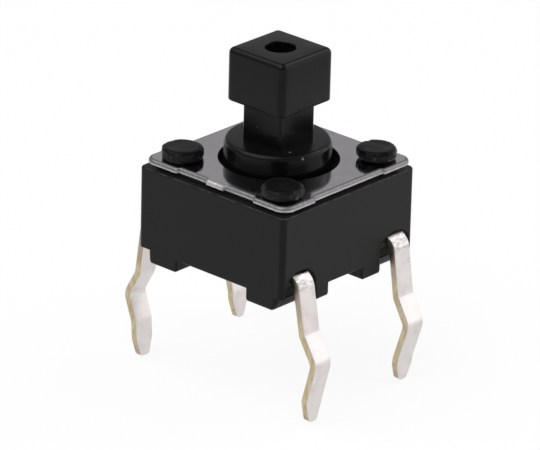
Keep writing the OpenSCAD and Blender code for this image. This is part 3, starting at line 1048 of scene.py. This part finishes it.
def strip_paint(level, segment):
    """Brass on the two sheared sides, tin on the flats and round the corners."""
    half_round = 2 * (EDGE_STEPS + 1)
    return BRASS_PAINT if segment % half_round == half_round - 1 else TIN_PAINT


def strip(y, left, right):
    """A strip's bar with its two legs, as one ribbon from tip to tip."""
    rings = []
    for leg, side in ((left, -1), (right, 1)):
        part = [strip_ring(x, z, heading, leg_half_width(leg, z), y, side)
                for x, z, heading in leg_line(leg)]
        rings += part[::-1] if side < 0 else part
    return loft(rings, paint=strip_paint, cap_paint=CUT_PAINT)


def add_to_strip(bar, extras, materials):
    """The strip with extras on it, each an outline with its lowest and highest height."""
    for outline, low, high in extras:
        bar = combine(bar, prism(outline, low, high), "UNION", materials)
    return bar


def centre_strip(materials):
    """The -Y strip: a bar with two legs, and a tongue to the contact under the dome's middle."""
    low, high = FLOOR_Z - STRIP_T + BURR, FLOOR_Z - BURR
    bar = add_to_strip(strip(-LEG_Y, LEG_LEFT, LEG_FRONT), [
        (rectangle(-TONGUE_HALF, TONGUE_HALF, -LEG_Y, 0), low, high),
        (disc_outline(CONTACT_DISC_R), low - BURR / 2, high + BURR / 2),
        (disc_outline(CONTACT_R), low + BURR, FLOOR_Z + CONTACT_H),
    ], materials)
    make_piece("centre_strip", bar, "switch_body", materials,
               "centre_contact_strip")


def outer_strip(materials):
    """The +Y strip: a bar with two legs, and two arms with the contacts under the dome's rim."""
    low, high = FLOOR_Z - STRIP_T + BURR, FLOOR_Z - BURR
    extras = []
    for x in (-ARM_X, ARM_X):
        x0, x1 = x - ARM_HALF, x + ARM_HALF
        ends = rectangle(x0 + BURR, x1 - BURR, -OUTER_CONTACT_HALF, OUTER_CONTACT_HALF)
        extras += [(rectangle(x0, x1, ARM_END, LEG_Y), low, high),
                   (ends, low + BURR, FLOOR_Z + CONTACT_H)]
    bar = add_to_strip(strip(LEG_Y, LEG_BACK, LEG_RIGHT), extras, materials)
    make_piece("outer_strip", bar, "switch_body", materials,
               "outer_contact_strip")


# ---------------------------------------------------------------- camera, light, floor

# The camera, as fitted to the photograph's perspective. Lens and sensor are in millimetres, as
# Blender has them, and the shift in shares of the picture's width
AZIMUTH = math.radians(41.812)
ELEVATION = math.radians(23.143)
ROLL = math.radians(1.485)
DISTANCE = 175.95 * MM
TARGET = Vector((-0.033, -0.030, 1.177)) * MM
LENS = 364.4
SENSOR = 36.0
SHIFT = (-0.00827, -0.0017)
CLIP = (0.01, 10.0)

FLOOR_HALF = 2.0
FLOOR_WHITE = (0.95, 0.95, 0.95, 1)
FLOOR_GLOW_SHARE = 0.9
WHITE = (1, 1, 1, 1)
WORLD_STRENGTH = 0.45


def camera():
    """Long lens on the object's front corner, at the fitted place and roll."""
    back = Vector((math.sin(AZIMUTH) * math.cos(ELEVATION),
                   -math.cos(AZIMUTH) * math.cos(ELEVATION), math.sin(ELEVATION)))
    right = Vector((math.cos(AZIMUTH), math.sin(AZIMUTH), 0))
    up = back.cross(right)
    rolled_right = right * math.cos(ROLL) + up * math.sin(ROLL)
    rolled_up = up * math.cos(ROLL) - right * math.sin(ROLL)
    data = bpy.data.cameras.new("camera")
    data.lens, data.sensor_width = LENS, SENSOR
    data.shift_x, data.shift_y = SHIFT
    data.clip_start, data.clip_end = CLIP
    obj = bpy.data.objects.new("camera", data)
    rotation = Matrix((rolled_right, rolled_up, back)).transposed().to_4x4()
    obj.matrix_world = Matrix.Translation(TARGET + back * DISTANCE) @ rotation
    bpy.context.scene.collection.objects.link(obj)
    bpy.context.scene.camera = obj


def lamp(name, direction, distance, size, radiance):
    """Square softbox that faces the object from a direction, as bright at any size or distance."""
    data = bpy.data.lights.new(name, "AREA")
    data.shape = "SQUARE"
    data.size = size
    data.energy = radiance * math.pi * size * size
    obj = bpy.data.objects.new(name, data)
    place = Vector(direction).normalized() * distance
    facing = place.to_track_quat("Z", "Y").to_matrix().to_4x4()
    obj.matrix_world = Matrix.Translation(place) @ facing
    bpy.context.scene.collection.objects.link(obj)


def seen_directly(tree):
    """1 for rays from the camera, from a mirror and through glass."""
    path = add(tree, "ShaderNodeLightPath")
    rays = maths(tree, "MAXIMUM", path.outputs["Is Camera Ray"], path.outputs["Is Glossy Ray"])
    return maths(tree, "MAXIMUM", rays, path.outputs["Is Transmission Ray"])


def floor(level):
    """Plain white floor under the legs, which shows as white but keeps a faint shadow."""
    material = bpy.data.materials.new("floor_white")
    material.use_nodes = True
    tree = material.node_tree
    tree.nodes.clear()
    diffuse = add(tree, "ShaderNodeBsdfDiffuse", Color=FLOOR_WHITE)
    glow = add(tree, "ShaderNodeEmission", Color=WHITE, Strength=1.0)
    share = maths(tree, "MULTIPLY", seen_directly(tree), FLOOR_GLOW_SHARE)
    mixed = add(tree, "ShaderNodeMixShader", Fac=share)
    put(tree, mixed.inputs[1], diffuse.outputs[0])
    put(tree, mixed.inputs[2], glow.outputs[0])
    add(tree, "ShaderNodeOutputMaterial", Surface=mixed.outputs[0])
    bm = bmesh.new()
    bmesh.ops.create_grid(bm, x_segments=1, y_segments=1, size=FLOOR_HALF)
    obj = bpy.data.objects.new("floor", make_mesh("floor", bm, [material]))
    obj.location.z = level
    bpy.context.scene.collection.objects.link(obj)


def world(strength):
    """Plain white light from all sides."""
    data = bpy.data.worlds.new("studio")
    bpy.context.scene.world = data
    data.use_nodes = True
    fill(data.node_tree, data.node_tree.nodes["Background"], Color=WHITE, Strength=strength)


# ---------------------------------------------------------------- the scene

camera()

housing([
    # Painted highlights on the rims and soles
    moulded_black("housing_black", level=0.004, rough=0.4, gloss=0.16, haze=0.1,
                  grain=0.003 * MM, extra=painted_rim_highlights),
    # Painted light and painted highlights on the studs' sides
    moulded_black("staked_black", level=0.003, rough=0.26, gloss=0.085, haze=0.03,
                  grain=0.0025 * MM, extra=lit_and_torn_stud_sides),
    # Painted reflected light deep in the pockets
    moulded_black("pocket_black", level=0.004, rough=0.5, gloss=0.12, haze=0.0,
                  grain=0.003 * MM, extra=painted_pocket_light),
])
# The rolled edge and the punched holes' walls carry painted shade
cover_plate([stainless("plate_steel"), rolled_edge("plate_roll", ROLL_SHADE_STEEL),
             sheared_edge("plate_shear"), rolled_edge("plate_hole_shade", HOLE_SHADE_STEEL)])
plunger(moulded_black("plunger_black", level=0.003, rough=0.22, gloss=0.14, haze=0.01,
                      grain=0.0012 * MM))
snap_dome(dome_spring("dome_spring"))
strip_metals = [tin("leg_tin"), sheared_brass("leg_brass"), cut_brass("leg_cut")]
centre_strip(strip_metals)
outer_strip(strip_metals)

floor(LEG_END)
world(WORLD_STRENGTH)
lamp("key", direction=(-0.15, -0.5, 0.9), distance=0.13, size=0.12, radiance=2.1)
lamp("back", direction=(0.6, 0.7, 0.45), distance=0.12, size=0.14, radiance=1.1)
lamp("left_edge", direction=(-0.613, -0.2, 0.76), distance=0.13, size=0.045, radiance=1.6)
lamp("right_edge", direction=(0.2, 0.685, 0.69), distance=0.13, size=0.045, radiance=1.3)
bpy.context.scene.view_settings.view_transform = "Standard"
